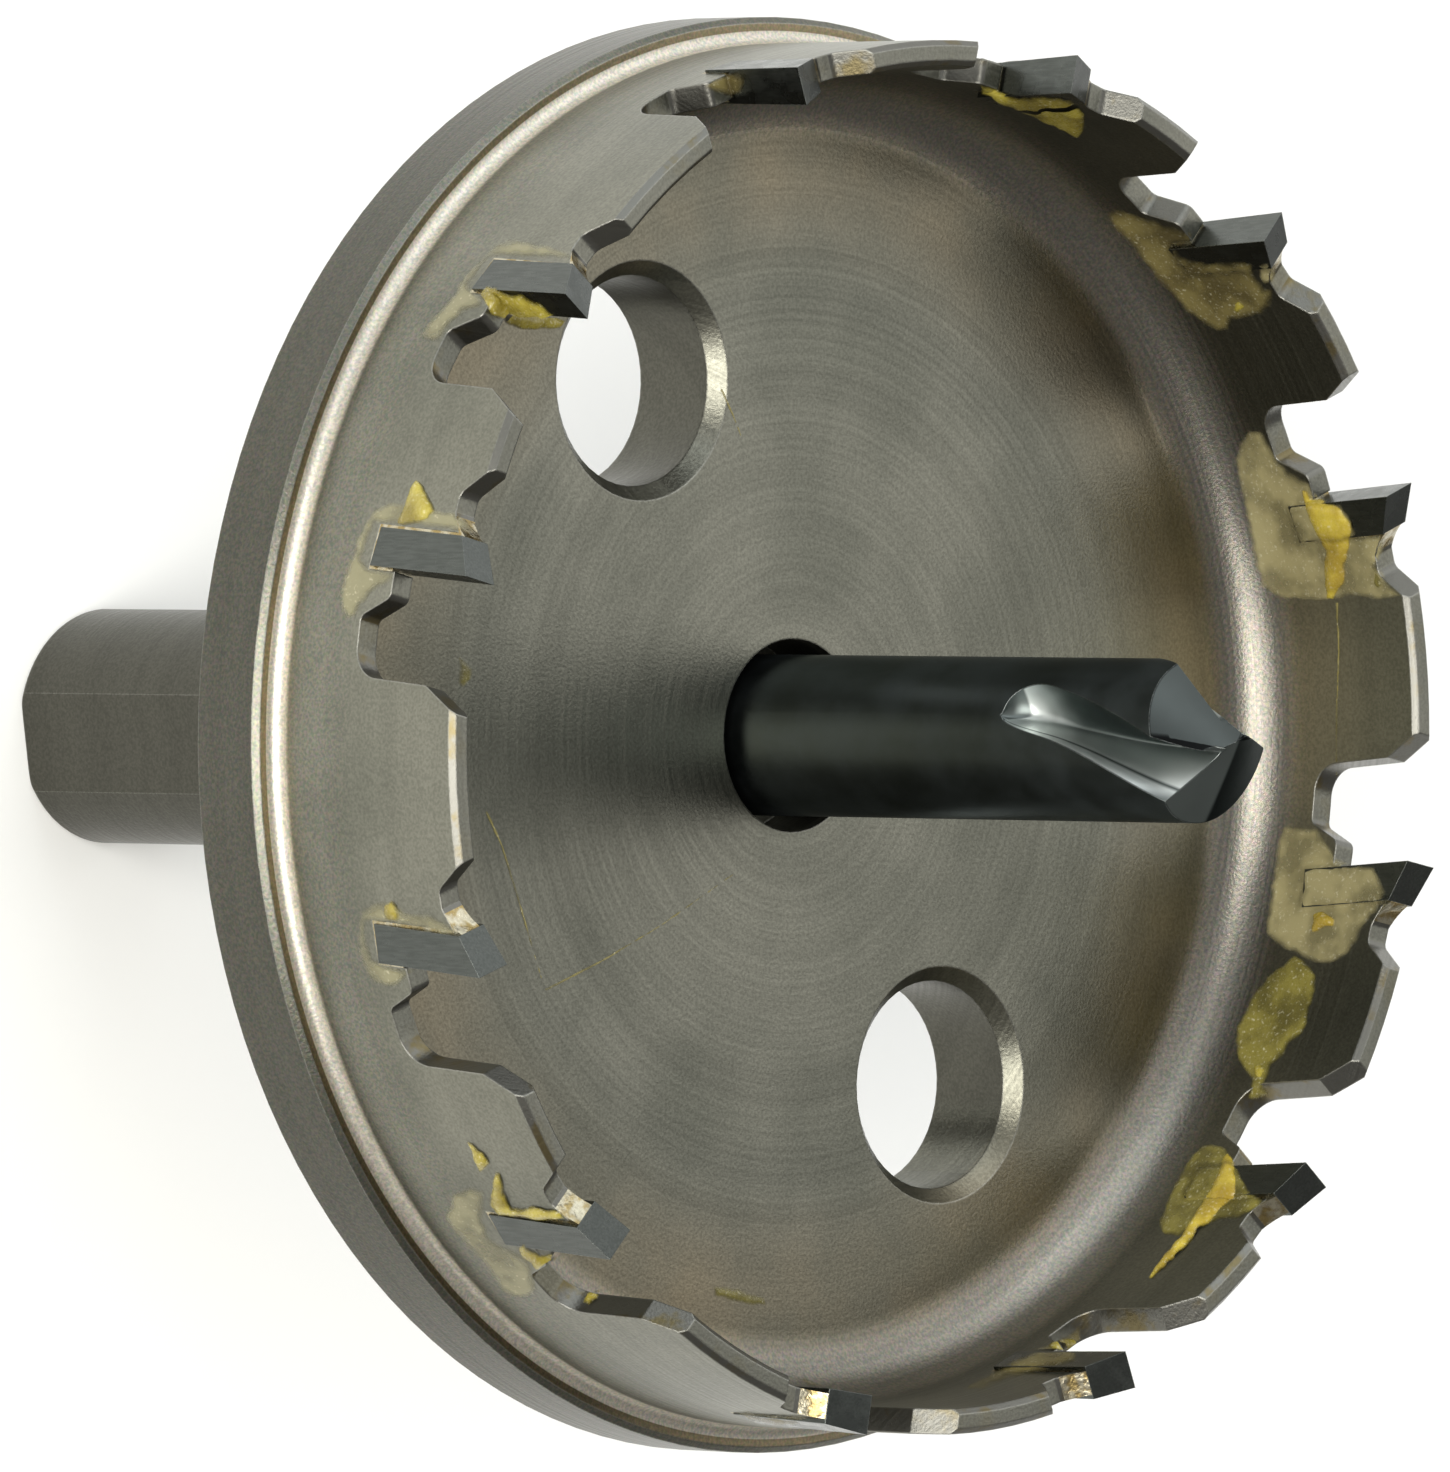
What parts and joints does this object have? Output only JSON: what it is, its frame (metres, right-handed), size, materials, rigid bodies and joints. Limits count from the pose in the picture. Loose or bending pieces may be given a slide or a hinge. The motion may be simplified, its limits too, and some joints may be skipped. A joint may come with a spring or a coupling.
{
  "type": "hole saw",
  "caption": "Carbide-tipped hole saw: flat cup with gapped rim of brazed tips, stop flange, slug holes, three-flat shank and a short pilot drill.",
  "frame": {"origin": "centre of the shank's end face, on the cutting axis", "axes": "+Z along the cutting axis from the shank towards the pilot drill's point; X and Y across it"},
  "size_m": [0.0564, 0.0564, 0.064],
  "materials": {
    "cutter_steel": "satin turned steel, heat-tinted by brazing",
    "drill_steel": "black oxide",
    "screw_steel": "black oxide",
    "carbide": "ground carbide",
    "braze": "cooled filler metal"
  },
  "bodies": {
    "root": {"cutter_body": "cutter_steel", "pilot_drill": "drill_steel", "set_screw": "screw_steel", "carbide_tip_01": "carbide", "carbide_tip_02": "carbide", "carbide_tip_03": "carbide", "carbide_tip_04": "carbide", "carbide_tip_05": "carbide", "carbide_tip_06": "carbide", "carbide_tip_07": "carbide", "carbide_tip_08": "carbide", "carbide_tip_09": "carbide", "carbide_tip_10": "carbide", "carbide_tip_11": "carbide", "carbide_tip_12": "carbide", "braze_seam_01": "braze", "braze_seam_02": "braze", "braze_seam_03": "braze", "braze_seam_04": "braze", "braze_seam_05": "braze", "braze_seam_06": "braze", "braze_seam_07": "braze", "braze_seam_08": "braze", "braze_seam_09": "braze", "braze_seam_10": "braze", "braze_seam_11": "braze", "braze_seam_12": "braze"}
  },
  "joints": []
}
